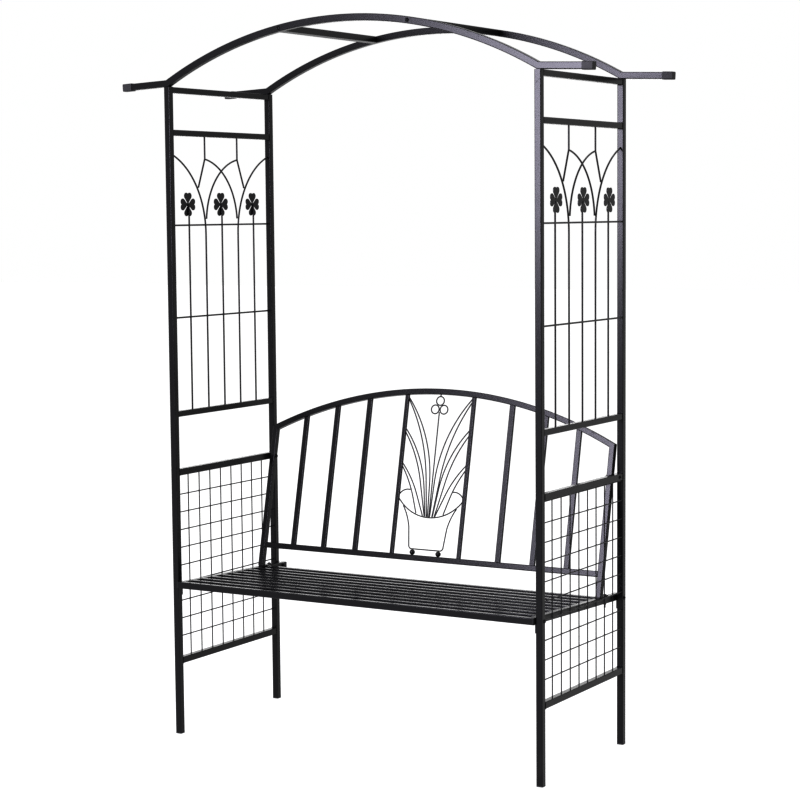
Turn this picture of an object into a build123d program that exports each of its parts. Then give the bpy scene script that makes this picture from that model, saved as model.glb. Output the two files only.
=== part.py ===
from build123d import *
from build123d.topology import SkipClean
import math
import os

# A garden rose arch with a built-in bench, in powder-coated steel.
# X runs across the arch (right is +X), Y runs from front (-Y) to back (+Y), Z is up.
# The origin is on the ground, in the middle of the footprint.  Lengths are millimetres.

# ---------------------------------------------------------------- driving dimensions
TUBE = 18.0            # square tube of posts, legs, arches, purlins and seat frame
RAIL = 16.0            # square tube of the trellis rails and the backrest frame
WALL = 1.2             # wall of every tube
CORNER = 2.0           # outer corner radius of the tubes
FLAT_W, FLAT_T = 16.0, 8.0     # flat tube of the slats
POT_SLAT_W = 12.0      # narrower flat tube beside the plant decoration

PANEL_X = 566.8        # middle of a side panel, from the centre of the arch
POST_Y = 242.4         # middle of a post, from the centre of the arch
LEG_TOP = 750.0        # where the lower half of a side panel ends
JOINT_GAP = 0.6        # seam that stays open where the halves plug together
POST_TOP = 1800.0      # underside of the arches
TOP_RAIL_Z = 1792.0
TRELLIS_TOP_Z = 1676.0
TRELLIS_BOTTOM_Z = 900.3
ARMREST_Z = 737.6
BOTTOM_RAIL_Z = 206.8

ARCH_APEX_Z = 1956.0   # tube centre at the crown
TAIL_Z = POST_TOP + TUBE / 2
TAIL_END_X = 715.5
TAIL_DROOP = math.radians(2.5)          # the tails fall a little towards their ends
CAP_LENGTH = 30.0
CAP_WALL = 1.4
PURLIN_X = 197.0

MESH_D = 3.0
MESH_GAPS = 9          # openings between the uprights of a mesh panel
MESH_PITCH_Z = 50.0
MESH_WIRES = 9         # cross wires below the one that lies against the armrest
MESH_TOP_Z = 673.0
TRELLIS_D = 4.5
STEM_PITCH = 78.5
CROSS_WIRE_Z = (1422.5, 1166.6)
CLOVER_Z = 1480.0
CLOVER_PLATE = 2.0
FAN_D = 3.3            # wire of the plant decoration

SEAT_FALL = math.degrees(math.atan(0.038))   # the seat falls towards the back
SEAT_Z = 414.7         # centre of the seat tubes above the middle of the footprint
SEAT_FRONT, SEAT_BACK = -261.0, 259.5
SEAT_PITCH = 45.3
SEAT_SLATS = 8
BRACKET_T = 2.3

LEAN = math.atan(0.2225)       # the backrest leans back
BACK_FOOT = (0, 143.4, 420)    # where the backrest plane meets the seat
BACK_X = 547.0         # middle of a backrest side tube
BACK_CORNER = 409.6    # height of the frame corners, along the backrest
BACK_CROWN = 536.8     # height of the bow's crown, along the backrest
BACK_RAIL = 61.5       # height of the lower rail, along the backrest
SLAT_X = (232.0, 339.0, 443.0)
POT_SLAT_X = 108.5

BOLT_D, HOLE_D = 5.0, 5.6
HEAD_D, HEAD_H = 11.5, 3.2
NUT_AF, NUT_H = 8.0, 4.0
CLEAR = 0.1            # running clearance of plugs, spigots and threads
BOW_LENGTHS = 24       # short lengths that a bent tube is drawn in

X, Y, Z = Vector(1, 0, 0), Vector(0, 1, 0), Vector(0, 0, 1)
inner_x = PANEL_X - TUBE / 2     # inner face of a post
inner_y = POST_Y - TUBE / 2      # face of a post towards the other post of its panel


# ---------------------------------------------------------------- shape helpers
def profile(width, height, corner=CORNER, wall=WALL):
    """Hollow rounded section; wall=0 gives a solid bar."""
    outer = RectangleRounded(width, height, corner)
    if not wall:
        return outer
    return outer - RectangleRounded(width - 2 * wall, height - 2 * wall, max(corner - wall, 0.4))


def bar(start, end, width, height, across, corner=CORNER, wall=WALL):
    """Straight member from start to end; its width lies along the vector across."""
    start, end = Vector(*start), Vector(*end)
    frame = Plane(origin=start, x_dir=across, z_dir=end - start)
    return extrude(frame * profile(width, height, corner, wall), (end - start).length)


def rod(start, end, diameter):
    start, end = Vector(*start), Vector(*end)
    return extrude(Plane(origin=start, z_dir=end - start) * Circle(diameter / 2), (end - start).length)


def bent_rod(path, diameter):
    return sweep(Plane(origin=path @ 0, z_dir=path % 0) * Circle(diameter / 2), path=path)


def curved_tube(section, crown, axis, turn):
    """Tube bent to a bow of turn degrees each side of the crown.

    The bow is made in short lengths, so that it stays smooth in a faceted copy.
    """
    step = 2 * turn / BOW_LENGTHS
    first = revolve(crown * section, axis, step, clean=False)
    lengths = [first.rotate(axis, k * step - turn) for k in range(BOW_LENGTHS)]
    with SkipClean():
        return lengths[0].fuse(*lengths[1:])


def dome_bolt(seat, direction, length):
    """Bolt whose head sits on the point seat and whose shank runs along direction."""
    frame = Plane(origin=seat, z_dir=direction)
    shank = extrude(frame * Circle(BOLT_D / 2), length)
    ball = (HEAD_D ** 2 / 4 + HEAD_H ** 2) / (2 * HEAD_H)
    dome = frame * Pos(0, 0, ball - HEAD_H) * Sphere(ball)
    keep = extrude(frame * Circle(HEAD_D), -HEAD_H)
    return shank + (dome & keep)


def hex_nut(seat, direction):
    frame = Plane(origin=seat, z_dir=direction)
    section = RegularPolygon(NUT_AF / 2, 6, major_radius=False) - Circle(BOLT_D / 2 + CLEAR)
    return extrude(frame * section, NUT_H)


def hole(start, end):
    return rod(start, end, HOLE_D)


def mirrored(shape):
    return mirror(shape, about=Plane.YZ)


def group(*shapes):
    solids = [solid for shape in shapes for solid in shape.solids()]
    return solids[0] if len(solids) == 1 else Compound(children=solids)


nodes = {}


def both_sides(name, shape):
    """A right-hand part and its mirror image on the left."""
    nodes["right_" + name] = shape
    nodes["left_" + name] = mirrored(shape)


# ---------------------------------------------------------------- bolt places
def seat_height(y):
    """Height of the seat tubes' centre line."""
    return SEAT_Z - math.tan(math.radians(SEAT_FALL)) * y


back_bolt_y = BACK_FOOT[1] + math.tan(LEAN) * (ARMREST_Z - BACK_FOOT[2])
front_bolt_y = -238.3      # just behind the seat's front rail, still through the post
bolt_axis = {
    "front": (front_bolt_y, seat_height(front_bolt_y)),
    "back": (POST_Y, seat_height(POST_Y)),
}

def tail_point(side, y, reach):
    """Point on a tail's centre line, this far out from the post's centre line."""
    return side * (PANEL_X + reach * math.cos(TAIL_DROOP)), y, TAIL_Z - reach * math.sin(TAIL_DROOP)


def tail_core(side, y):
    """Room that a tail takes above its post; the post and its spigot are cut to it."""
    return bar(tail_point(side, y, -TUBE), tail_point(side, y, TUBE), TUBE, TUBE, Y, wall=0)


# ---------------------------------------------------------------- side panels: lower half
FOOT_CAP = 3.0
for end, y in (("front", -POST_Y), ("back", POST_Y)):
    leg = bar((PANEL_X, y, FOOT_CAP), (PANEL_X, y, LEG_TOP), TUBE, TUBE, X)
    bolt_y, bolt_z = bolt_axis[end]
    leg -= hole((inner_x - 1, bolt_y, bolt_z), (PANEL_X + TUBE, bolt_y, bolt_z))
    both_sides(end + "_leg", leg)
    post = bar((PANEL_X, y, LEG_TOP + JOINT_GAP), (PANEL_X, y, POST_TOP), TUBE, TUBE, X)
    both_sides(end + "_post", post - tail_core(1, y))


def panel_rail(z, size=RAIL):
    return bar((PANEL_X, -inner_y, z), (PANEL_X, inner_y, z), size, size, X)


armrest = panel_rail(ARMREST_Z, TUBE) - hole((inner_x, back_bolt_y, ARMREST_Z),
                                       (PANEL_X + TUBE, back_bolt_y, ARMREST_Z))
both_sides("armrest_rail", armrest)
both_sides("bottom_rail", panel_rail(BOTTOM_RAIL_Z, TUBE))

# Welded mesh: uprights between the rails, cross wires on their outer side.
mesh_low = BOTTOM_RAIL_Z + TUBE / 2
mesh_high = ARMREST_Z - TUBE / 2
mesh_pitch_y = 2 * inner_y / MESH_GAPS
mesh_x = PANEL_X + 2.5
mesh = []
for k in range(1, MESH_GAPS):
    y = -inner_y + k * mesh_pitch_y
    mesh.append(rod((mesh_x, y, mesh_low), (mesh_x, y, mesh_high), MESH_D))
cross_heights = [MESH_TOP_Z - k * MESH_PITCH_Z for k in range(MESH_WIRES)]
for z in [mesh_high - MESH_D / 2 - 0.1] + cross_heights:
    x = mesh_x + MESH_D
    mesh.append(rod((x, -inner_y, z), (x, inner_y, z), MESH_D))
both_sides("mesh", group(*mesh))

# ---------------------------------------------------------------- side panels: upper half
both_sides("top_rail", panel_rail(TOP_RAIL_Z))
both_sides("trellis_top_rail", panel_rail(TRELLIS_TOP_Z))
both_sides("trellis_bottom_rail", panel_rail(TRELLIS_BOTTOM_Z))

trellis_x = PANEL_X + 0.7
trellis_low = TRELLIS_BOTTOM_Z + RAIL / 2
trellis_high = TRELLIS_TOP_Z - RAIL / 2
FLARE_Z, FLARE_R = 1398.0, 233.0       # the outward arc starts here, with this radius
INNER_Z, INNER_R = 1425.0, 184.0       # the same for the arc over the middle clover
BRACE_BEND_Z = 1607.0
TOUCH = 4.05                           # sideways distance of wires that touch


def panel_plane(x=trellis_x):
    """Sketching plane of a side panel: local x runs back, local y runs up."""
    return Plane(origin=(x, 0, 0), x_dir=(0, 1, 0), z_dir=(1, 0, 0))


def flared_wire(side):
    """Vertical wire that sweeps out to the post in a quarter of a pointed arch."""
    y = side * STEM_PITCH
    reach = inner_y + 3 - STEM_PITCH
    turn = math.acos((FLARE_R - reach) / FLARE_R)
    top = (side * (STEM_PITCH + reach), FLARE_Z + FLARE_R * math.sin(turn))
    middle = (side * (STEM_PITCH + FLARE_R * (1 - math.cos(turn / 2))),
              FLARE_Z + FLARE_R * math.sin(turn / 2))
    path = Line((y, trellis_low), (y, FLARE_Z)) + ThreePointArc((y, FLARE_Z), middle, top)
    wire = bent_rod(panel_plane() * path, TRELLIS_D)
    return split(wire, bisect_by=Plane(origin=(0, side * inner_y, 0), z_dir=(0, -side, 0)), keep=Keep.TOP)


def inner_arc(side, x):
    """Arc from beside one flared wire, over the middle clover, to the far brace."""
    def at(turn):
        return (side * (-STEM_PITCH + INNER_R * (1 - math.cos(turn))), INNER_Z + INNER_R * math.sin(turn))
    first = math.asin((FLARE_Z + 41.5 - INNER_Z) / INNER_R)
    last = math.acos(1 - (2 * STEM_PITCH - TOUCH) / INNER_R)
    path = ThreePointArc(at(first), at((first + last) / 2), at(last))
    return bent_rod(panel_plane(x) * path, TRELLIS_D)


def brace(side):
    """Bent wire from the rail down to the flared wire."""
    bend = Vector(side * STEM_PITCH, BRACE_BEND_Z)
    foot = Vector(side * 113.0, 1522.0)
    foot = foot + (bend - foot).normalized() * 5.2
    path = FilletPolyline((side * STEM_PITCH, trellis_high), (bend.X, bend.Y), (foot.X, foot.Y), radius=14)
    return bent_rod(panel_plane() * path, TRELLIS_D)


trellis = [rod((trellis_x, k * 2 * STEM_PITCH, trellis_low), (trellis_x, k * 2 * STEM_PITCH, CLOVER_Z),
               TRELLIS_D) for k in (-1, 0, 1)]
for side in (-1, 1):
    trellis.append(flared_wire(side))
    trellis.append(brace(side))
    trellis.append(inner_arc(side, trellis_x + side * (TRELLIS_D / 2 + 0.05)))
for z in CROSS_WIRE_Z:
    x = trellis_x + TRELLIS_D
    trellis.append(rod((x, -inner_y, z), (x, inner_y, z), TRELLIS_D))
nodes["right_trellis_wires"] = group(*trellis)
nodes["left_trellis_wires"] = Rot(0, 0, 180) * group(*trellis)


def clover():
    """Four-leaf clover cut from sheet; each leaf is a heart with its point in the middle."""
    lobe_r, lobe_x, lobe_y = 8.6, 7.6, 23.8
    tip = Pos(0, 3) * Circle(0.6)
    leaf = Sketch()
    for side in (-1, 1):
        lobe = Pos(side * lobe_x, lobe_y) * Circle(lobe_r)
        leaf += make_hull(lobe.edges() + tip.edges())
    flower = Circle(5)
    for k in range(4):
        flower += Rot(0, 0, 90 * k) * leaf
    return flower


clover_x = trellis_x + TRELLIS_D / 2
clovers = [extrude(panel_plane(clover_x) * Pos(k * 2 * STEM_PITCH, CLOVER_Z) * clover(), CLOVER_PLATE)
           for k in (-1, 0, 1)]
both_sides("clovers", group(*clovers))

# ---------------------------------------------------------------- arches, tails and purlins
rise = ARCH_APEX_Z - TAIL_Z
arch_r = (PANEL_X ** 2 + rise ** 2) / (2 * rise)
arch_z = ARCH_APEX_Z - arch_r
arch_turn = math.degrees(math.asin(PANEL_X / arch_r))
purlin_turn = math.degrees(math.asin(PURLIN_X / arch_r))


def mitre_plane(corner, first, second):
    """Plane through a corner that halves the angle between two members leaving it."""
    return Plane(origin=corner, z_dir=first.normalized() - second.normalized())


def arch(y):
    """Curved tube, cut to a mitre over both posts, with holes for the purlin screws."""
    crown = Plane(origin=(0, y, ARCH_APEX_Z), x_dir=(0, 1, 0), z_dir=(1, 0, 0))
    tube = curved_tube(profile(TUBE, TUBE), crown, Axis((0, 0, arch_z), (0, 1, 0)), arch_turn + 2)
    with SkipClean():
        for side in (-1, 1):
            tube = split(tube, bisect_by=arch_mitre(y, side), keep=Keep.TOP)
            place = purlin_point(side)
            tube -= hole((place[0], y - TUBE, place[1]), (place[0], y + TUBE, place[1]))
    return tube


def arch_mitre(y, side):
    along = Vector(-side * math.cos(math.radians(arch_turn)), 0, math.sin(math.radians(arch_turn)))
    outward = Vector(side * math.cos(TAIL_DROOP), 0, -math.sin(TAIL_DROOP))
    return mitre_plane((side * PANEL_X, y, TAIL_Z), along, outward)


def purlin_point(side):
    angle = math.radians(purlin_turn)
    return side * PURLIN_X, arch_z + arch_r * math.cos(angle)


tail_reach = (TAIL_END_X - PANEL_X) / math.cos(TAIL_DROOP)
for end, y in (("front", -POST_Y), ("back", POST_Y)):
    nodes[end + "_arch"] = arch(y)
    tails = []
    for side in (-1, 1):
        tail = bar(tail_point(side, y, -TUBE), tail_point(side, y, tail_reach), TUBE, TUBE, Y)
        tails.append(split(tail, bisect_by=arch_mitre(y, side), keep=Keep.BOTTOM))
    nodes[end + "_arch_tails"] = group(*tails)

cap_size = TUBE + 2 * CAP_WALL
caps = []
for side in (-1, 1):
    for y in (-POST_Y, POST_Y):
        tip_reach = tail_reach + CAP_WALL
        mouth_reach = tip_reach - CAP_LENGTH
        mouth, tip = tail_point(side, y, mouth_reach), tail_point(side, y, tip_reach)
        sleeve = bar(mouth, tip, cap_size, cap_size, Y, corner=3.0, wall=0)
        socket = TUBE + CLEAR
        before, floor = tail_point(side, y, mouth_reach - 1), tail_point(side, y, tail_reach)
        sleeve -= bar(before, floor, socket, socket, Y, wall=0)
        caps.append(sleeve)
nodes["arch_end_caps"] = group(*caps)

inserts, purlin_screws = [], []
INSERT_LENGTH = 12.0
for side, name in ((1, "right_purlin"), (-1, "left_purlin")):
    x, z = purlin_point(side)
    angle = math.radians(purlin_turn)
    across = Vector(math.cos(angle), 0, -side * math.sin(angle))
    nodes[name] = bar((x, -inner_y, z), (x, inner_y, z), TUBE, TUBE, across)
    plug = TUBE - 2 * WALL - 2 * CLEAR
    for y_side in (-1, 1):
        start, stop = y_side * inner_y, y_side * (inner_y - INSERT_LENGTH)
        insert = bar((x, start, z), (x, stop, z), plug, plug, across, corner=1.0, wall=0)
        inserts.append(insert - rod((x, start, z), (x, stop, z), BOLT_D + 2 * CLEAR))
        seat = (x, y_side * (POST_Y + TUBE / 2), z)
        purlin_screws.append(dome_bolt(seat, (0, -y_side, 0), TUBE + INSERT_LENGTH - 1))
nodes["purlin_inserts"] = group(*inserts)
nodes["purlin_screws"] = group(*purlin_screws)

# Spigots: short tubes inside the posts, at the leg joint and under the arches.
SPIGOT = TUBE - 2 * WALL - 2 * CLEAR
spigots, foot_caps = [], []
for side in (-1, 1):
    for y in (-POST_Y, POST_Y):
        x = side * PANEL_X
        for low, high in ((LEG_TOP - 50, LEG_TOP + 50), (POST_TOP - 50, POST_TOP)):
            spigot = bar((x, y, low), (x, y, high), SPIGOT, SPIGOT, X, corner=1.0, wall=1.5)
            spigots.append(spigot - tail_core(side, y))
        cap = bar((x, y, 0), (x, y, FOOT_CAP), TUBE, TUBE, X, wall=0)
        cap += bar((x, y, FOOT_CAP), (x, y, FOOT_CAP + 12), SPIGOT, SPIGOT, X, corner=1.0, wall=0)
        foot_caps.append(cap)
nodes["post_spigots"] = group(*spigots)
nodes["foot_caps"] = group(*foot_caps)

# ---------------------------------------------------------------- seat
# The seat is drawn level, with its tube centres at height 0, and is then tipped into place.
end_rail_x = inner_x - BRACKET_T - TUBE / 2
slat_end = end_rail_x - TUBE / 2
PLUG_FLANGE = 1.5


def seated(shape):
    return Pos(0, 0, SEAT_Z) * Rot(-SEAT_FALL, 0, 0) * shape


def level_y(y):
    """Place on the level seat that lands at this depth when tipped."""
    return y / math.cos(math.radians(SEAT_FALL))


front_rail_y = SEAT_FRONT + TUBE / 2
rail_end_x = end_rail_x + TUBE / 2 - PLUG_FLANGE
front_rail = bar((-rail_end_x, front_rail_y, 0), (rail_end_x, front_rail_y, 0), TUBE, TUBE, Y)
nodes["seat_front_rail"] = seated(front_rail)

rear_rail_y = front_rail_y + (SEAT_SLATS + 1) * SEAT_PITCH
rear_rail = bar((-slat_end, rear_rail_y, 0), (slat_end, rear_rail_y, 0), TUBE, TUBE, Y)
nodes["seat_rear_rail"] = seated(rear_rail)

foot_bolt_y = 181.0
end_rail = bar((end_rail_x, SEAT_FRONT + TUBE, 0), (end_rail_x, SEAT_BACK, 0), TUBE, TUBE, X)
for y in (front_bolt_y, POST_Y):
    end_rail -= hole((slat_end - 1, level_y(y), 0), (inner_x, level_y(y), 0))
end_rail -= hole((end_rail_x, foot_bolt_y, -TUBE), (end_rail_x, foot_bolt_y, TUBE))
both_sides("seat_end_rail", seated(end_rail))

slats = []
for k in range(1, SEAT_SLATS + 1):
    y = front_rail_y + k * SEAT_PITCH
    z = (TUBE - FLAT_T) / 2
    slats.append(seated(bar((-slat_end, y, z), (slat_end, y, z), FLAT_W, FLAT_T, Y, wall=1.0)))
nodes["seat_slats"] = group(*slats)

bearer_z = TUBE / 2 - FLAT_T - FLAT_T / 2
bearer = bar((0, SEAT_FRONT + TUBE, bearer_z), (0, rear_rail_y - TUBE / 2, bearer_z),
             FLAT_W, FLAT_T, X, wall=1.0)
nodes["seat_bearer"] = seated(bearer)

plugs = []
for side in (-1, 1):
    flange = bar((side * rail_end_x, front_rail_y, 0), (side * (rail_end_x + PLUG_FLANGE), front_rail_y, 0),
                 TUBE, TUBE, Y, wall=0)
    body = bar((side * rail_end_x, front_rail_y, 0), (side * (rail_end_x - 12), front_rail_y, 0),
               SPIGOT, SPIGOT, Y, corner=1.0, wall=0)
    plugs.append(seated(flange + body))
    x = side * end_rail_x
    flange = bar((x, SEAT_BACK, 0), (x, SEAT_BACK + PLUG_FLANGE, 0), TUBE, TUBE, X, wall=0)
    body = bar((x, SEAT_BACK, 0), (x, SEAT_BACK - 7, 0), SPIGOT, SPIGOT, X, corner=1.0, wall=0)
    plugs.append(seated(flange + body))
nodes["seat_tube_plugs"] = group(*plugs)

BRACKET_W, BRACKET_UP, BRACKET_DOWN = 16.0, 9.0, 30.0
brackets, seat_bolts, nuts = [], [], []
for side in (-1, 1):
    for bolt_y, bolt_z in bolt_axis.values():
        post_y = math.copysign(POST_Y, bolt_y)
        middle = (side * (inner_x - BRACKET_T / 2), post_y, bolt_z + (BRACKET_UP - BRACKET_DOWN) / 2)
        plate = Pos(*middle) * Box(BRACKET_T, BRACKET_W, BRACKET_UP + BRACKET_DOWN)
        plate -= hole((side * (inner_x - 9), bolt_y, bolt_z), (side * (inner_x + 9), bolt_y, bolt_z))
        brackets.append(plate)
        seat = (side * (PANEL_X + TUBE / 2), bolt_y, bolt_z)
        grip = TUBE + BRACKET_T + TUBE
        seat_bolts.append(dome_bolt(seat, (-side, 0, 0), grip + NUT_H + 2))
        nuts.append(hex_nut((side * slat_end, bolt_y, bolt_z), (-side, 0, 0)))
nodes["seat_brackets"] = group(*brackets)
nodes["seat_bolts"] = group(*seat_bolts)

# ---------------------------------------------------------------- backrest
# Local x runs across, local y runs up the backrest, local z points forwards.
back_plane = Plane(origin=BACK_FOOT, x_dir=(1, 0, 0), z_dir=(0, -math.cos(LEAN), math.sin(LEAN)))
bow_sag = BACK_CROWN - BACK_CORNER
bow_r = (BACK_X ** 2 + bow_sag ** 2) / (2 * bow_sag)
bow_y = BACK_CROWN - bow_r
bow_turn = math.degrees(math.asin(BACK_X / bow_r))
FOOT_T = 3.0


def leaned(shape):
    return back_plane * shape


def bow_mitre(side):
    along = Vector(-side * math.cos(math.radians(bow_turn)), math.sin(math.radians(bow_turn)), 0)
    return mitre_plane((side * BACK_X, BACK_CORNER, 0), along, Vector(0, -1, 0))


bow_crown = Plane(origin=(0, BACK_CROWN, 0), x_dir=(0, 1, 0), z_dir=(1, 0, 0))
bow = curved_tube(profile(RAIL, RAIL), bow_crown, Axis((0, bow_y, 0), (0, 0, 1)), bow_turn + 2)
with SkipClean():
    for side in (-1, 1):
        bow = split(bow, bisect_by=bow_mitre(side), keep=Keep.TOP)
nodes["backrest_bow"] = leaned(bow)

# Each side tube stands on a foot plate that is bolted down through the seat's end rail.
side_tube = bar((BACK_X, -30, 0), (BACK_X, BACK_CORNER + 30, 0), RAIL, RAIL, X)
side_tube = leaned(split(side_tube, bisect_by=bow_mitre(1), keep=Keep.BOTTOM))
below = seated(Pos(end_rail_x, 140, TUBE / 2 + FOOT_T - 60) * Box(60, 200, 120))
side_tube -= below
side_tube -= hole((BACK_X - RAIL, back_bolt_y, ARMREST_Z), (BACK_X + RAIL, back_bolt_y, ARMREST_Z))
FOOT_FRONT, FOOT_BACK = 134.0, 192.0
foot = Pos(end_rail_x - 2, (FOOT_FRONT + FOOT_BACK) / 2, (TUBE + FOOT_T) / 2)
foot = foot * Box(FLAT_W - 2, FOOT_BACK - FOOT_FRONT, FOOT_T)
foot -= hole((end_rail_x, foot_bolt_y, 0), (end_rail_x, foot_bolt_y, TUBE))
both_sides("backrest_side", side_tube + seated(foot))

back_rail = bar((RAIL / 2 - BACK_X, BACK_RAIL, 0), (BACK_X - RAIL / 2, BACK_RAIL, 0), RAIL, RAIL, Y)
nodes["backrest_lower_rail"] = leaned(back_rail)

slat_low = BACK_RAIL + RAIL / 2
under_bow = Pos(0, bow_y, -20) * Cylinder(bow_r - RAIL / 2, 40, align=(Align.CENTER, Align.CENTER, Align.MIN))


def back_slat(x, width):
    """Flat tube from the lower rail up to the bow, coped to the bow's curve."""
    return leaned(bar((x, slat_low, 0), (x, BACK_CROWN, 0), width, FLAT_T, X, wall=1.0) & under_bow)


nodes["backrest_slats"] = group(*[back_slat(side * x, FLAT_W) for side in (-1, 1) for x in SLAT_X])
nodes["backrest_pot_slats"] = group(*[back_slat(side * POT_SLAT_X, POT_SLAT_W) for side in (-1, 1)])

# ---------------------------------------------------------------- potted plant of bent wire
pot_face = POT_SLAT_X - POT_SLAT_W / 2      # inner face of the slats beside the plant
RIM_EDGE, RIM_LOW = 228.0, 177.5            # heights of the rim's ends and of its middle
rim_sag = RIM_EDGE - RIM_LOW
rim_r = (pot_face ** 2 + rim_sag ** 2) / (2 * rim_sag)
POT_FLOOR = 86.5


def rim_height(x):
    return RIM_LOW + rim_r - math.sqrt(rim_r ** 2 - x ** 2)


def trimmed(wire):
    """Cut a wire's ends square to the faces of the slats on both sides."""
    return wire & Box(2 * pot_face, 2000, 60)


rim = bent_rod(ThreePointArc((-pot_face - 3, rim_height(pot_face) + 3), (0, RIM_LOW),
                             (pot_face + 3, rim_height(pot_face) + 3)), FAN_D)
pot_side = []
for side in (-1, 1):
    lip = ThreePointArc((side * 86.5, rim_height(86.5) - 3.4), (side * 70.5, 177.5), (side * 61.5, 148))
    wall = Line((side * 61.5, 148), (side * 55.6, 96))
    pot_side.append((lip, wall))
corner = [ThreePointArc((side * 55.6, 96), (side * 52.6, 89.2), (side * 46, POT_FLOOR)) for side in (-1, 1)]
pot_path = (pot_side[0][0] + pot_side[0][1] + corner[0] + Line((-46, POT_FLOOR), (46, POT_FLOOR))
            + corner[1] + pot_side[1][1] + pot_side[1][0])
pot_body = bent_rod(pot_path, FAN_D)
nodes["plant_pot"] = leaned(group(trimmed(rim), pot_body))

BALL_R = (POT_FLOOR - FAN_D / 2 - slat_low) / 2
balls = [Pos(side * 42, slat_low + BALL_R, 0) * Sphere(BALL_R) for side in (-1, 1)]
nodes["plant_pot_feet"] = leaned(group(*balls))

# Leaf wires: foot on the rim, the place where the straight stalk starts to curve, the height
# of the tip on the slat, and the layer.  The two wires of a leaf lie in two layers, so that
# the bundle at the rim doesn't run into itself.
leaf_layer = FAN_D / 2 + 0.05
leaves = (
    (3.4, (7.5, 275), 517, 1),
    (8.8, (22.5, 290), 511, -1),
    (12.2, (23.5, 258), 427, 1),
    (16.2, (41.0, 282), 415, -1),
    (20.0, (46.0, 242), 328, 1),
    (44.0, (58.0, 230), 318, -1),
)
leaf_wires = []
for side in (-1, 1):
    for foot_x, bend, tip_y, layer in leaves:
        slope = foot_x / (rim_r - rim_height(foot_x) + RIM_LOW)
        foot = Vector(side * foot_x, rim_height(foot_x) + FAN_D / 2 + 0.4 + FAN_D / 2 * slope)
        bend = Vector(side * bend[0], bend[1])
        tip = Vector(side * (pot_face + 2.5), tip_y + 3.5)
        path = Line(foot, bend) + TangentArc(bend, tip, tangent=(bend - foot))
        leaf_wires.append(trimmed(Pos(0, 0, layer * leaf_layer) * bent_rod(path, FAN_D)))
    hook = ThreePointArc((side * (pot_face + 2), 236), (side * 92, 249.5), (side * 69.1, 253.8))
    leaf_wires.append(trimmed(bent_rod(hook, FAN_D)))
nodes["plant_leaves"] = leaned(group(*leaf_wires))

RING_R = 12.5
ring_out = RING_R + FAN_D / 2
ring_low = 486.0
ring_gap = ring_out + CLEAR / 2
ring_high = ring_low + math.sqrt(3) * ring_gap
rings = [Pos(x, y) * Torus(RING_R, FAN_D / 2)
         for x, y in ((-ring_gap, ring_low), (ring_gap, ring_low), (0, ring_high))]
stem_top = ring_low - math.sqrt(ring_out ** 2 - RING_R ** 2) - 0.8
stem = rod((0, RIM_LOW + FAN_D / 2, 0), (0, stem_top, 0), FAN_D)
stub = rod((0, ring_high + ring_out, 0), (0, bow_y + bow_r - RAIL / 2, 0), FAN_D)
nodes["plant_stem"] = leaned(group(stem, stub, *rings))

# ---------------------------------------------------------------- backrest fasteners
back_bolts, spacers, foot_bolts = [], [], []
rail_face = PANEL_X - TUBE / 2
tube_face = BACK_X + RAIL / 2
for side in (-1, 1):
    def on_axis(x):
        return (side * x, back_bolt_y, ARMREST_Z)
    grip = PANEL_X + TUBE / 2 - (BACK_X - RAIL / 2)
    back_bolts.append(dome_bolt(on_axis(PANEL_X + TUBE / 2), (-side, 0, 0), grip + NUT_H + 2))
    bore = rod(on_axis(tube_face - 1), on_axis(rail_face + 1), HOLE_D)
    spacers.append(rod(on_axis(tube_face), on_axis(rail_face), 10) - bore)
    nuts.append(hex_nut(on_axis(BACK_X - RAIL / 2), (-side, 0, 0)))
    x = side * end_rail_x
    foot_bolts.append(seated(dome_bolt((x, foot_bolt_y, TUBE / 2 + FOOT_T), (0, 0, -1), TUBE + FOOT_T + 13)))
    nuts.append(seated(hex_nut((x, foot_bolt_y, -TUBE / 2), (0, 0, -1))))
nodes["backrest_bolts"] = group(*back_bolts)
nodes["backrest_spacers"] = group(*spacers)
nodes["backrest_foot_bolts"] = group(*foot_bolts)
nodes["hex_nuts"] = group(*nuts)

# ---------------------------------------------------------------- export
os.makedirs("parts", exist_ok=True)
for name, shape in nodes.items():
    export_step(shape, "parts/" + name + ".step")
print(len(nodes), "nodes")
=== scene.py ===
# %% [markdown]
# # A garden arch with a bench, in black powder-coated steel
# The steelwork is already modelled as exact solids, packed as a fixed frame. This lesson loads
# that frame, gives every tube, wire and cap its finish, and adds what a welder and a fitter
# leave behind: weld beads, nuggets where wires cross, screw heads and moulded caps.

# %% Load the frame
import math

import bpy
import bmesh
from mathutils import Matrix, Vector


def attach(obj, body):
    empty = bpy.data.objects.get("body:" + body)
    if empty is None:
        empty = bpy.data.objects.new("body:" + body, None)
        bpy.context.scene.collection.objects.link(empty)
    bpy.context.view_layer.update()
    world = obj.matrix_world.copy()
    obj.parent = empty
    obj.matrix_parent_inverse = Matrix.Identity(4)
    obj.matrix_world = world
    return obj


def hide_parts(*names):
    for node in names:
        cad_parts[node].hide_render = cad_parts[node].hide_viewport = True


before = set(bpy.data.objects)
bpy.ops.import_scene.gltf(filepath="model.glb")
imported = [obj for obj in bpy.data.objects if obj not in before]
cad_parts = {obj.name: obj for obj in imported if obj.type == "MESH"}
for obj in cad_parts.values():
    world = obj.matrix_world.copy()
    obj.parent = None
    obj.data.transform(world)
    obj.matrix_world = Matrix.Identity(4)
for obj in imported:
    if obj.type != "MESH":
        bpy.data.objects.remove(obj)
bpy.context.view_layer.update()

# %% [markdown]
# ## Camera
# A long lens from the front right, a little above the seat, as for a catalogue picture of
# furniture. The camera is built from its three directions, which is exact and easy to check:
# right, up, and back towards the viewer.

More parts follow.
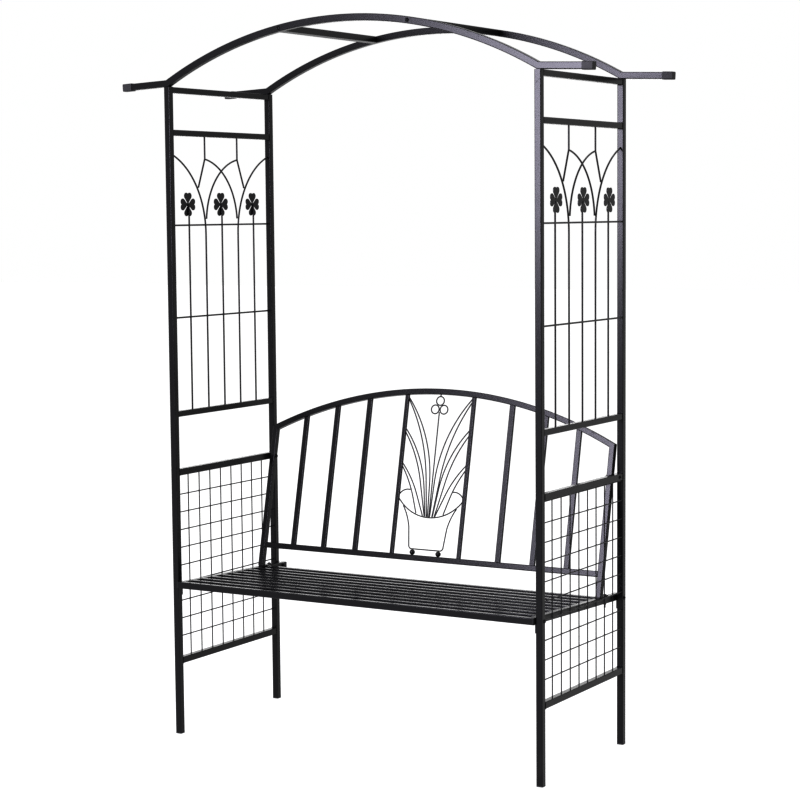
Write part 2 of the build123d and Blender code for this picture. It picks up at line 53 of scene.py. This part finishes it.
# %% Camera
CAMERA_PLACE = Vector((2.9108, -4.8743, 1.4526))
CAMERA_AZIMUTH = math.radians(31.006)     # turned left from straight along +Y
CAMERA_PITCH = math.radians(-5.224)       # looking slightly down
CAMERA_ROLL = math.radians(-0.538)
CAMERA_LENS = 93.85                       # mm, on a 36 mm wide sensor

flat_right = Vector((math.cos(CAMERA_AZIMUTH), math.sin(CAMERA_AZIMUTH), 0))
flat_ahead = Vector((-math.sin(CAMERA_AZIMUTH), math.cos(CAMERA_AZIMUTH), 0))
ahead = flat_ahead * math.cos(CAMERA_PITCH) + Vector((0, 0, math.sin(CAMERA_PITCH)))
level_up = flat_right.cross(ahead)
right = flat_right * math.cos(CAMERA_ROLL) + level_up * math.sin(CAMERA_ROLL)
up = right.cross(ahead)

camera_data = bpy.data.cameras.new("camera")
camera_data.sensor_width = 36
camera_data.lens = CAMERA_LENS
camera_data.shift_x = 0.0141
camera_data.shift_y = 0.0039
camera_data.clip_start = 0.1
camera_data.clip_end = 60
camera = bpy.data.objects.new("camera", camera_data)
camera.matrix_world = Matrix((right, up, -ahead)).transposed().to_4x4()
camera.location = CAMERA_PLACE
bpy.context.scene.collection.objects.link(camera)
bpy.context.scene.camera = camera
print("camera", tuple(round(v, 3) for v in camera.location), "lens", camera_data.lens)

# %% [markdown]
# ## Light
# Black gloss shows nothing but what it reflects, so the lights are chosen for their
# reflections: a broad soft panel in front on the left draws the cool sheen on the backrest and
# the right-hand posts, a narrow one on the left edges the tubes, a high one lights their tops
# and a low one behind draws light lines on the seat slats. The surroundings are plain white.

# %% Light
def soft_panel(name, place, target, size, power, colour=(1, 1, 1)):
    data = bpy.data.lights.new(name, "AREA")
    data.shape = "RECTANGLE"
    data.size, data.size_y = size
    data.energy = power
    data.color = colour
    panel = bpy.data.objects.new(name, data)
    panel.location = place
    panel.rotation_euler = (Vector(target) - Vector(place)).to_track_quat("-Z", "Y").to_euler()
    bpy.context.scene.collection.objects.link(panel)
    return panel


COOL = (0.88, 0.85, 1.0)
front_panel = soft_panel("front_panel", (-0.75, -4.09, 2.29), (0.5, 0, 0.9), (1.9, 2.2), 285, COOL)
left_panel = soft_panel("left_panel", (-4.6, -1.0, 2.4), (0, 0, 1.1), (0.5, 2.6), 30)
top_panel = soft_panel("top_panel", (0.4, 1.8, 5.2), (0, 0, 0.6), (3.0, 1.6), 90)
back_panel = soft_panel("back_panel", (-3.3, 5.4, 1.7), (0, 0, 0.5), (3.4, 1.3), 22)
for panel in (front_panel, left_panel, top_panel, back_panel):
    panel.visible_camera = False

world = bpy.data.worlds.new("studio")
world.use_nodes = True
bpy.context.scene.world = world
world.node_tree.nodes["Background"].inputs["Color"].default_value = (1.0, 1.0, 1.0, 1)
world.node_tree.nodes["Background"].inputs["Strength"].default_value = 1.0
bpy.context.scene.view_settings.view_transform = "Standard"
bpy.context.scene.view_settings.gamma = 0.62      # a printed page: deep blacks beside clean white

# %% [markdown]
# ## Shader maths
# A finish is easier to read as an expression than as a web of nodes. `Value` wraps one socket
# and turns + - * / into Math nodes. `Finish` starts a material and adds any other node with one
# method: its type, its settings, then what goes into its inputs.

# %% Shader maths
class Value:
    def __init__(self, finish, socket):
        self.finish, self.socket = finish, socket

    def _math(self, operation, a, b=None):
        wanted = [a] if b is None else [a, b]
        return self.finish.node("ShaderNodeMath", {"operation": operation}, dict(enumerate(wanted)))

    def __add__(self, other): return self._math("ADD", self, other)
    def __radd__(self, other): return self._math("ADD", other, self)
    def __sub__(self, other): return self._math("SUBTRACT", self, other)
    def __rsub__(self, other): return self._math("SUBTRACT", other, self)
    def __mul__(self, other): return self._math("MULTIPLY", self, other)
    def __rmul__(self, other): return self._math("MULTIPLY", other, self)


class Finish:
    """A material under construction, with one general method for its nodes."""

    def __init__(self, name):
        self.material = bpy.data.materials.new(name)
        self.material.use_nodes = True
        self.tree = self.material.node_tree
        self.shader = self.tree.nodes["Principled BSDF"]

    def node(self, kind, settings=None, inputs=None, output=0):
        made = self.tree.nodes.new(kind)
        for key, setting in (settings or {}).items():
            setattr(made, key, setting)
        for key, given in (inputs or {}).items():
            self.feed(made.inputs[key], given)
        return Value(self, made.outputs[output])

    def feed(self, socket, given):
        if isinstance(given, Value):
            self.tree.links.new(given.socket, socket)
        else:
            socket.default_value = given

    def set(self, **inputs):
        """Feeds the shader's own sockets: set(Base_Color=..., Roughness=...)."""
        for key, given in inputs.items():
            self.feed(self.shader.inputs[key.replace("_", " ")], given)

    def place(self):
        return self.node("ShaderNodeTexCoord", output="Object")

    def noise(self, scale, detail=2.0, roughness=0.5):
        return self.node("ShaderNodeTexNoise", None, {"Vector": self.place(), "Scale": scale,
                                                       "Detail": detail, "Roughness": roughness})

    def between(self, value, low, high):
        """0 below low, 1 above high, smooth between."""
        return self.node("ShaderNodeMapRange", {"interpolation_type": "SMOOTHSTEP"},
                         {"Value": value, "From Min": low, "From Max": high}, output="Result")

    def blend(self, factor, first, second):
        return self.node("ShaderNodeMix", {"data_type": "RGBA"},
                         {"Factor": factor, 6: first, 7: second}, output=2)


print("shader maths ready")

# %% [markdown]
# ## Powder coat
# Powder is sprayed on dry and baked: it flows into a skin with a fine orange-peel ripple, a
# little thinner and shinier over the corners of a tube, with a few dull scuffs and a breath of
# dust low down. The corners are also painted lighter in patches, partly as edge wear and partly
# as a painted highlight along the rounded edge. The corner mask needs no extra geometry: on a
# rounded corner the surface normal lies between two faces, so its share along one face
# direction is neither 0 nor 1.

# %% Powder coat
COAT = (0.0070, 0.0070, 0.0080, 1)
# lighter coat for the rounded corners: partly edge wear, partly a painted highlight
COAT_CORNER_WEAR_AND_HIGHLIGHT = (0.030, 0.030, 0.034, 1)
COAT_DUST = (0.045, 0.042, 0.038, 1)


def powder_coat(name, facing, gloss=0.34):
    """Finish for tubes whose broad faces look along the direction facing."""
    coat = Finish(name)
    normal = coat.node("ShaderNodeNewGeometry", output="Normal")
    share = coat.node("ShaderNodeVectorMath", {"operation": "DOT_PRODUCT"},
                      {0: normal, 1: facing}, output="Value")
    square = share * share
    corner = coat.between(4.0 * square * (1 - square), 0.45, 0.95)
    # patches on the rounded corners, partly edge wear and partly a painted highlight
    wear_and_highlight = corner * coat.between(coat.noise(38, 3), 0.46, 0.68)
    height = coat.node("ShaderNodeSeparateXYZ", None, {0: coat.place()}, output="Z")
    low = 1 - coat.between(height, 0.02, 0.55)
    dust = low * coat.between(coat.noise(9, 4, 0.6), 0.5, 0.8)
    scuff = coat.between(coat.noise(85, 2), 0.68, 0.74)
    # painted highlight: the rounded corners are lightened in patches, which also stands for edge wear
    colour = coat.blend(wear_and_highlight * 0.6, COAT, COAT_CORNER_WEAR_AND_HIGHLIGHT)
    colour = coat.blend(dust * 0.35, colour, COAT_DUST)
    peel = coat.node("ShaderNodeBump", None, {"Strength": 0.02, "Distance": 0.0004,
                                              "Height": coat.noise(950, 1) + 0.35 * coat.noise(2600, 1)})
    coat.set(Base_Color=colour, Normal=peel,
             Roughness=gloss + 0.07 * coat.noise(14, 3) + 0.10 * scuff + 0.12 * dust - 0.06 * wear_and_highlight)
    coat.shader.inputs["Specular IOR Level"].default_value = 0.36
    return coat.material


finishes = {
    "cross": powder_coat("powder_coat_cross_members", (0, 1, 0), gloss=0.22),
    "side": powder_coat("powder_coat_side_rails", (1, 0, 0), gloss=0.24),
    "lean": powder_coat("powder_coat_backrest", (0, -0.976, 0.217), gloss=0.22),
    "wire": powder_coat("powder_coat_wire", (0, 0, 1), gloss=0.30),
}
print("powder coats:", sorted(finishes))

# %% [markdown]
# ## Moulded plastic and blackened steel
# The caps and plugs are black polyethylene with the fine spark texture of the mould, duller
# and greyer than the coat. Screws and nuts are blackened steel with a thin oily sheen.

# %% Moulded plastic and blackened steel
def moulded_plastic():
    plastic = Finish("moulded_plastic")
    texture = plastic.noise(1500, 2)
    shade = plastic.blend(plastic.noise(30, 3), (0.014, 0.014, 0.0145, 1), (0.022, 0.022, 0.023, 1))
    grain = plastic.node("ShaderNodeBump", None, {"Strength": 0.25, "Distance": 0.0003, "Height": texture})
    plastic.set(Base_Color=shade, Normal=grain, Roughness=0.50 + 0.12 * plastic.noise(60, 2))
    return plastic.material


def blackened_steel():
    steel = Finish("blackened_steel")
    rubbed = steel.between(steel.noise(420, 3), 0.55, 0.75)
    shade = steel.blend(rubbed, (0.016, 0.016, 0.018, 1), (0.10, 0.10, 0.105, 1))
    steel.set(Base_Color=shade, Metallic=0.75 + 0.2 * rubbed, Roughness=0.36 - 0.08 * rubbed)
    return steel.material


finishes["plastic"] = moulded_plastic()
finishes["steel"] = blackened_steel()
print("finishes:", sorted(finishes))

# %% [markdown]
# ## Which finish goes where
# Tubes along Y have corners between their X and Z faces, so their corner mask looks along X.
# All other square tubes have one pair of faces square to Y.

# %% Which finish goes where
SIDE_WORDS = ("rail", "purlin", "bearer")
LEAN_WORDS = ("backrest",)
WIRE_WORDS = ("mesh", "trellis_wires", "clovers", "plant")
PLASTIC_WORDS = ("caps", "plugs", "inserts")
STEEL_WORDS = ("screws", "bolts", "nuts", "spacers")


def finish_of(name):
    if any(word in name for word in STEEL_WORDS):
        return "steel"
    if any(word in name for word in PLASTIC_WORDS):
        return "plastic"
    if any(word in name for word in WIRE_WORDS):
        return "wire"
    if any(word in name for word in LEAN_WORDS):
        return "lean"
    if name.startswith("seat_") and "end" not in name and "bearer" not in name:
        return "cross"
    return "side" if any(word in name for word in SIDE_WORDS) else "cross"


for name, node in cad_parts.items():
    node.data.materials.clear()
    node.data.materials.append(finishes[finish_of(name)])
print({key: sum(finish_of(n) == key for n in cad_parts) for key in finishes})

# %% [markdown]
# ## Reading the solids
# The added pieces take their places and sizes from the solids themselves. A node can hold many
# loose parts, for example four bolts; `parts_of` tells them apart and gives the corner points
# of each.

# %% Reading the solids
def merged_copy(name):
    """The mesh of a node in the shared frame, with its seams closed."""
    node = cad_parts[name]
    work = bmesh.new()
    work.from_mesh(node.data)
    work.transform(node.matrix_world)
    bmesh.ops.remove_doubles(work, verts=work.verts, dist=1e-6)
    return work


def parts_of(name):
    work = merged_copy(name)
    waiting = set(work.verts)
    parts = []
    while waiting:
        stack = [waiting.pop()]
        found = []
        while stack:
            vert = stack.pop()
            found.append(vert.co.copy())
            for edge in vert.link_edges:
                other = edge.other_vert(vert)
                if other in waiting:
                    waiting.discard(other)
                    stack.append(other)
        parts.append(found)
    work.free()
    return parts


def box_of(points):
    low = Vector([min(p[i] for p in points) for i in range(3)])
    high = Vector([max(p[i] for p in points) for i in range(3)])
    return low, high


def piece_from(name, work, finish, stands_for=()):
    """Turns a finished bmesh into a piece that rides on the frame."""
    bmesh.ops.recalc_face_normals(work, faces=work.faces)
    mesh = bpy.data.meshes.new(name)
    work.to_mesh(mesh)
    work.free()
    mesh.materials.append(finishes[finish])
    return hand_piece(bpy.data.objects.new(name, mesh), stands_for)


def hand_piece(piece, stands_for=()):
    bpy.context.scene.collection.objects.link(piece)
    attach(piece, "root")
    for node in stands_for:
        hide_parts(node)
    print(piece.name, "with", len(piece.data.polygons), "faces")
    return piece


print("screws to place:", len(parts_of("purlin_screws")), "and seat bolts:", len(parts_of("seat_bolts")))

# %% [markdown]
# ## Screws and bolts
# Low domed heads with a hexagon socket, turned as rings: from the bottom of the socket, over
# the dome, under the head, down the shank and along a rolled thread at the free end. Head and
# tip are found on each solid: the head is its wide end.

# %% Screws and bolts
TURN = 24                 # points round each ring
END_REACH = 0.005         # points this near an end of a bolt belong to that end
HEAD_R, HEAD_TALL, SHANK_R = 0.00575, 0.0032, 0.0025
THREAD_PITCH, THREAD_DEPTH, THREAD_LONG = 0.0008, 0.0003, 0.010


def dome_height(radius):
    ball = (HEAD_R ** 2 + HEAD_TALL ** 2) / (2 * HEAD_TALL)
    return math.sqrt(ball ** 2 - radius ** 2) - (ball - HEAD_TALL)


def screw_rings(length):
    """Radius, height over the seat, and whether the ring is a hexagon."""
    rings = [(0.0016, dome_height(0.002) - 0.0019, True), (0.0017, dome_height(0.002) - 0.0002, True),
             (0.0022, dome_height(0.0022), False)]
    rings += [(r, dome_height(r), False) for r in (0.0031, 0.0040, 0.0048, 0.0054)]
    rings += [(0.0057, 0.0003, False), (0.00565, 0.0, False), (SHANK_R, 0.0, False)]
    depth = -(length - THREAD_LONG)
    rings.append((SHANK_R, depth, False))
    while depth - THREAD_PITCH > -length + 0.0004:
        rings.append((SHANK_R - THREAD_DEPTH, depth - THREAD_PITCH / 2, False))
        rings.append((SHANK_R, depth - THREAD_PITCH, False))
        depth -= THREAD_PITCH
    rings.append((SHANK_R - 0.0006, -length, False))
    return rings


def hexagon(angle):
    sector = math.radians(60)
    return math.cos(sector / 2) / math.cos((angle % sector) - sector / 2)


def add_screw(work, points):
    low, high = box_of(points)
    reach = high - low
    axis = max(range(3), key=lambda i: reach[i])
    ends = []
    for level in (low[axis], high[axis]):
        near = [p for p in points if abs(p[axis] - level) < END_REACH]
        middle = sum(near, Vector()) / len(near)
        ends.append((max((p - middle).length for p in near), middle, level))
    ends.sort(key=lambda end: -end[0])
    wide, slim = ends
    outward = (wide[1] - slim[1]).normalized()
    tip = min(p.dot(outward) for p in points)
    top = max(p.dot(outward) for p in points)
    centre = slim[1]
    seat = centre + outward * (top - HEAD_TALL - centre.dot(outward))
    turn = outward.to_track_quat("Z", "Y")
    rows = []
    for radius, height, six in screw_rings(top - HEAD_TALL - tip):
        row = []
        for k in range(TURN):
            angle = math.tau * k / TURN
            r = radius * (hexagon(angle) / math.cos(math.radians(30)) if six else 1)
            corner = Vector((r * math.cos(angle), r * math.sin(angle), height))
            row.append(work.verts.new(seat + turn @ corner))
        rows.append(row)
    for first, second in zip(rows, rows[1:]):
        for k in range(TURN):
            work.faces.new((first[k], first[k - 1], second[k - 1], second[k]))
    work.faces.new(rows[0])
    work.faces.new(rows[-1])


for node in ("purlin_screws", "seat_bolts", "backrest_bolts", "backrest_foot_bolts"):
    work = bmesh.new()
    for points in parts_of(node):
        add_screw(work, points)
    piece_from("turned_" + node, work, "steel", (node,))

# %% [markdown]
# ## Moulded caps
# The sleeve caps on the arch tails are injection moulded: rounded rims, a slightly smaller
# outer end so that they leave the mould, and a hollow that the tube fills.

# %% Moulded caps
def square_ring(work, place, turn, half, corner, height, steps=5):
    """A ring of points round a square with rounded corners."""
    ring = []
    for quarter in range(4):
        centre_angle = math.radians(90 * quarter)
        for step in range(steps + 1):
            angle = centre_angle + math.radians(90) * step / steps
            corner_x = (half - corner) * (1 if quarter in (0, 3) else -1)
            corner_y = (half - corner) * (1 if quarter in (0, 1) else -1)
            point = Vector((corner_x + corner * math.cos(angle), corner_y + corner * math.sin(angle), height))
            ring.append(work.verts.new(place + turn @ point))
    return ring


def loft(work, rings):
    count = len(rings[0])
    for first, second in zip(rings, rings[1:]):
        for k in range(count):
            work.faces.new((first[k], first[k - 1], second[k - 1], second[k]))
    work.faces.new(rings[0])
    work.faces.new(rings[-1])


def end_centre(points, level):
    low, high = box_of([p for p in points if abs(p.x - level) < 0.0022])
    return (low + high) / 2


CAP_HALF, CAP_LONG = 0.0104, 0.030
CAP_BORE = 0.00905        # half the width of the hollow
CAP_FLOOR = 0.0014        # thickness of the closed end
work = bmesh.new()
for points in parts_of("arch_end_caps"):
    low, high = box_of(points)
    inner, outer = (low.x, high.x) if low.x > 0 else (high.x, low.x)
    mouth, tip = end_centre(points, inner), end_centre(points, outer)
    outward = (tip - mouth).normalized()
    turn = outward.to_track_quat("Z", "Y")
    half, long = CAP_HALF, CAP_LONG
    tip = tip - outward * (tip.dot(outward) - max(p.dot(outward) for p in points))
    mouth = tip - outward * long
    bore = CAP_BORE
    shape = [(bore, 0.0001, long - CAP_FLOOR), (bore, 0.0001, 0.0004), (bore + 0.0003, 0.0004, 0.0),
             (half - 0.0006, 0.0026, 0.0), (half, 0.0030, 0.0006), (half, 0.0030, 0.0040),
             (half - 0.0002, 0.0028, long - 0.0012), (half - 0.0005, 0.0026, long - 0.0004),
             (half - 0.0012, 0.0022, long), (half - 0.0040, 0.0010, long),
             (half - 0.0046, 0.0008, long - 0.0003)]
    loft(work, [square_ring(work, mouth, turn, *ring) for ring in shape])
piece_from("moulded_arch_end_caps", work, "plastic", ("arch_end_caps",))

# %% [markdown]
# ## A small kit for Geometry Nodes
# The wire mesh, the seat slats and the weld beads repeat a simple shape along lines, so they
# are grown by node trees with named inputs. Each tree ends by making its copies real and
# giving them their finish; the result is then kept as one plain mesh.

# %% A small kit for Geometry Nodes
class Tree:
    """A node tree under construction: named inputs, and one general method for its nodes."""

    def __init__(self, name, **inputs):
        self.group = bpy.data.node_groups.new(name, "GeometryNodeTree")
        face = self.group.interface
        face.new_socket("Geometry", in_out="INPUT", socket_type="NodeSocketGeometry")
        face.new_socket("Geometry", in_out="OUTPUT", socket_type="NodeSocketGeometry")
        kinds = {int: "NodeSocketInt", float: "NodeSocketFloat", Vector: "NodeSocketVector"}
        self.given = {}
        for key, amount in inputs.items():
            socket = face.new_socket(key, in_out="INPUT", socket_type=kinds[type(amount)])
            self.given[socket.identifier] = tuple(amount) if isinstance(amount, Vector) else amount
        self.entry = self.group.nodes.new("NodeGroupInput")
        self.exit = self.group.nodes.new("NodeGroupOutput")

    def __getitem__(self, key):
        return self.entry.outputs[key]

    def node(self, kind, settings=None, inputs=None, output=0):
        made = self.group.nodes.new(kind)
        for key, setting in (settings or {}).items():
            setattr(made, key, setting)
        for key, given in (inputs or {}).items():
            for one in given if isinstance(given, list) else [given]:
                if isinstance(one, bpy.types.NodeSocket):
                    self.group.links.new(one, made.inputs[key])
                else:
                    made.inputs[key].default_value = one
        return made.outputs[output]

    def math(self, operation, a, b):
        return self.node("ShaderNodeMath", {"operation": operation}, {0: a, 1: b})

    def vector(self, x=0.0, y=0.0, z=0.0):
        return self.node("ShaderNodeCombineXYZ", None, {"X": x, "Y": y, "Z": z})

    def line(self, count, start, step):
        return self.node("GeometryNodeMeshLine", {"mode": "OFFSET", "count_mode": "TOTAL"},
                         {"Count": count, "Start Location": start, "Offset": step})

    def copies(self, points, shape, **more):
        return self.node("GeometryNodeInstanceOnPoints", None, {"Points": points, "Instance": shape, **more},
                         output="Instances")

    def join(self, *parts):
        return self.node("GeometryNodeJoinGeometry", None, {"Geometry": list(parts)})

    def moved(self, shape, offset=(0, 0, 0), turn=(0, 0, 0)):
        return self.node("GeometryNodeTransform", None,
                         {"Geometry": shape, "Translation": offset, "Rotation": turn})

    def grow(self, name, shape, finish, slot, stands_for=(), points=()):
        real = self.node("GeometryNodeRealizeInstances", None, {"Geometry": shape})
        done = self.node("GeometryNodeSetMaterial", None, {"Geometry": real, "Material": finishes[finish]})
        self.group.links.new(done, self.exit.inputs[0])
        seed = bpy.data.meshes.new(name + "_seed")
        seed.from_pydata([tuple(p) for p in points], [], [])
        holder = bpy.data.objects.new(name + "_holder", seed)
        bpy.context.scene.collection.objects.link(holder)
        modifier = holder.modifiers.new("grow", "NODES")
        modifier.node_group = self.group
        for identifier, amount in self.given.items():
            modifier[identifier] = amount
        grown = holder.evaluated_get(bpy.context.evaluated_depsgraph_get())
        mesh = bpy.data.meshes.new_from_object(grown)
        bpy.data.objects.remove(holder)
        return hand_piece(bpy.data.objects.new(name, mesh), stands_for)


print("node kit ready")

# %% [markdown]
# ## Welded mesh panels
# Uprights stand between the rails and cross wires lie against them on the outer side. Where
# two wires cross, the spot welder leaves a small flattened nugget. One cross wire lies apart
# from the even ladder, tight under the armrest.

# %% Welded mesh panels
for side in ("left", "right"):
    boxes = [box_of(points) for points in parts_of(side + "_mesh")]
    uprights = sorted((b for b in boxes if b[1].z - b[0].z > 0.1), key=lambda b: b[0].y)
    crossing = sorted((b for b in boxes if b[1].z - b[0].z < 0.1), key=lambda b: b[0].z)
    centres = [(low + high) / 2 for low, high in uprights]
    levels = [(low + high) / 2 for low, high in crossing]
    tree = Tree(side + "_welded_mesh", Uprights=len(centres), Upright_Start=centres[0],
                Upright_Pitch=centres[1].y - centres[0].y, Upright_Length=uprights[0][1].z - uprights[0][0].z,
                Cross_Wires=len(levels) - 1, Cross_Start=levels[0], Cross_Pitch=levels[1].z - levels[0].z,
                Cross_Length=crossing[0][1].y - crossing[0][0].y, Top_Wire=levels[-1],
                Nugget_Row=Vector(((levels[0].x + centres[0].x) / 2, centres[0].y, 0)), Wire_Radius=0.0015,
                Nugget_Radius=0.0021)

    def wire(length):
        return tree.node("GeometryNodeMeshCylinder", {"fill_type": "NGON"},
                         {"Vertices": 10, "Radius": tree["Wire_Radius"], "Depth": length}, output="Mesh")

    upright_places = tree.line(tree["Uprights"], tree["Upright_Start"], tree.vector(y=tree["Upright_Pitch"]))
    stands = tree.copies(upright_places, wire(tree["Upright_Length"]))
    across = tree.moved(wire(tree["Cross_Length"]), turn=(math.radians(90), 0, 0))
    ladder = tree.line(tree["Cross_Wires"], tree["Cross_Start"], tree.vector(z=tree["Cross_Pitch"]))
    rungs = tree.join(tree.copies(ladder, across), tree.moved(across, tree["Top_Wire"]))
    nugget = tree.node("GeometryNodeMeshIcoSphere", None,
                       {"Radius": tree["Nugget_Radius"], "Subdivisions": 2}, output="Mesh")
    nugget_places = tree.line(tree["Uprights"], tree["Nugget_Row"], tree.vector(y=tree["Upright_Pitch"]))
    row = tree.copies(nugget_places, nugget)
    lowest = tree.node("ShaderNodeSeparateXYZ", None, {0: tree["Cross_Start"]}, output="Z")
    row_places = tree.line(tree["Cross_Wires"], tree.vector(z=lowest), tree.vector(z=tree["Cross_Pitch"]))
    rows = tree.copies(row_places, row)
    tree.grow(side + "_welded_mesh", tree.join(stands, rungs, rows), "wire", "coated_wire", (side + "_mesh",))

# %% [markdown]
# ## Weld beads
# A rail is welded to its posts all round. The bead is a row of overlapping ripples that follows
# the outline of the tube end, a rounded square, at every rail end.

# %% Weld beads
BEAD_SMALLEST, BEAD_LARGEST, BEAD_SEED = 0.85, 1.12, 7
BEAD_STAND_OFF = 0.0006       # the row runs this much outside the tube, both sides together


def weld_beads(name, places, size, slot, turn=(math.radians(90), 0, 0), ripples=26):
    tree = Tree(name, Tube_Size=size, Corner=0.002, Ripples=ripples, Bead_Radius=0.0014)
    reach = tree.math("ADD", tree["Tube_Size"], BEAD_STAND_OFF)
    outline = tree.node("GeometryNodeCurvePrimitiveQuadrilateral", None, {"Width": reach, "Height": reach})
    outline = tree.node("GeometryNodeFilletCurve", None, {"Curve": outline, "Radius": tree["Corner"]})
    steps = tree.node("GeometryNodeResampleCurve", None, {"Curve": outline, "Count": tree["Ripples"]})
    bead = tree.node("GeometryNodeMeshIcoSphere", None, {"Radius": tree["Bead_Radius"], "Subdivisions": 2},
                     output="Mesh")
    uneven = tree.node("FunctionNodeRandomValue", {"data_type": "FLOAT"},
                       {2: BEAD_SMALLEST, 3: BEAD_LARGEST, "Seed": BEAD_SEED}, output=1)
    ring = tree.copies(steps, bead, Scale=uneven)
    ring = tree.moved(tree.node("GeometryNodeRealizeInstances", None, {"Geometry": ring}), turn=turn)
    tree.grow(name, tree.copies(tree["Geometry"], ring), "wire", slot, points=places)


def rail_ends(names):
    ends = []
    for name in names:
        low, high = box_of(parts_of(name)[0])
        x, z = (low.x + high.x) / 2, (low.z + high.z) / 2
        ends += [(x, low.y, z), (x, high.y, z)]
    return ends


SIDES = ("left", "right")
weld_beads("rail_weld_beads", rail_ends([s + r for s in SIDES for r in ("_top_rail", "_trellis_top_rail",
                                                                        "_trellis_bottom_rail")]),
           0.016, "powder_coated_tube")
weld_beads("lower_weld_beads", rail_ends([s + r for s in SIDES for r in ("_bottom_rail", "_armrest_rail")]),
           0.018, "powder_coated_tube")

# %% [markdown]
# ## Seat slats
# The slats are flat tubes of one section, laid parallel at an even pitch on a seat that falls
# gently to the back. The section is swept along one slat, and the slat is repeated along a line.

# %% Seat slats
slat_points = [p for points in parts_of("seat_slats") for p in points]
slat_boxes = sorted((box_of(points) for points in parts_of("seat_slats")), key=lambda b: b[0].y)
slat_centres = [(low + high) / 2 for low, high in slat_boxes]
slat_step = (slat_centres[-1] - slat_centres[0]) / (len(slat_centres) - 1)
slat_fall = math.atan2(slat_step.z, slat_step.y)
tree = Tree("seat_slats", Slats=len(slat_centres), First_Slat=slat_centres[0], Slat_Step=slat_step,
            Slat_Length=slat_boxes[0][1].x - slat_boxes[0][0].x, Slat_Width=0.016, Slat_Thickness=0.008,
            Slat_Corner=0.002, Seat_Fall=Vector((slat_fall, 0, 0)))
section = tree.node("GeometryNodeCurvePrimitiveQuadrilateral", None,
                    {"Width": tree["Slat_Width"], "Height": tree["Slat_Thickness"]})
section = tree.node("GeometryNodeFilletCurve", {"mode": "POLY"},
                    {"Curve": section, "Radius": tree["Slat_Corner"], "Count": 5})
half_length = tree.math("MULTIPLY", tree["Slat_Length"], 0.5)
left_end = tree.vector(x=tree.math("MULTIPLY", half_length, -1.0))
right_end = tree.vector(x=half_length)
run = tree.node("GeometryNodeCurvePrimitiveLine", None, {"Start": left_end, "End": right_end})
slat = tree.node("GeometryNodeCurveToMesh", None, {"Curve": run, "Profile Curve": section, "Fill Caps": True})
slat = tree.moved(slat, turn=tree["Seat_Fall"])
slats = tree.copies(tree.line(tree["Slats"], tree["First_Slat"], tree["Slat_Step"]), slat)
grown = tree.grow("grown_seat_slats", slats, "cross", "powder_coated_tube", ("seat_slats",))
low, high = box_of([v.co for v in grown.data.vertices])
cad_slat_low, cad_slat_high = box_of(slat_points)
differences = (*(low - cad_slat_low), *(high - cad_slat_high))
print("slats differ from the solids by", [round(v * 1000, 3) for v in differences], "mm")

# %% [markdown]
# ## Floor
# A wide white floor that glows a little from below, as in a catalogue studio, with a faint
# mottle so that it isn't a flat tone.

# %% Floor
FLOOR_GLOW = 0.82         # like a light table


def pale_floor():
    paint = Finish("pale_floor")
    tone = paint.blend(paint.noise(1.5, 4), (0.17, 0.17, 0.17, 1), (0.19, 0.19, 0.19, 1))
    paint.set(Base_Color=tone, Roughness=0.8)
    paint.shader.inputs["Emission Color"].default_value = (1, 1, 1, 1)
    paint.shader.inputs["Emission Strength"].default_value = FLOOR_GLOW
    return paint.material


floor_mesh = bpy.data.meshes.new("floor")
FLOOR_HALF = 30.0
floor_mesh.from_pydata([(x, y, -0.0005) for x, y in ((-FLOOR_HALF, -FLOOR_HALF), (FLOOR_HALF, -FLOOR_HALF),
                                                     (FLOOR_HALF, FLOOR_HALF), (-FLOOR_HALF, FLOOR_HALF))],
                       [], [(0, 1, 2, 3)])
floor = bpy.data.objects.new("floor", floor_mesh)
floor.data.materials.append(pale_floor())
bpy.context.scene.collection.objects.link(floor)
print("floor", FLOOR_HALF * 2, "m square")

# %% Hand over
bpy.context.view_layer.update()
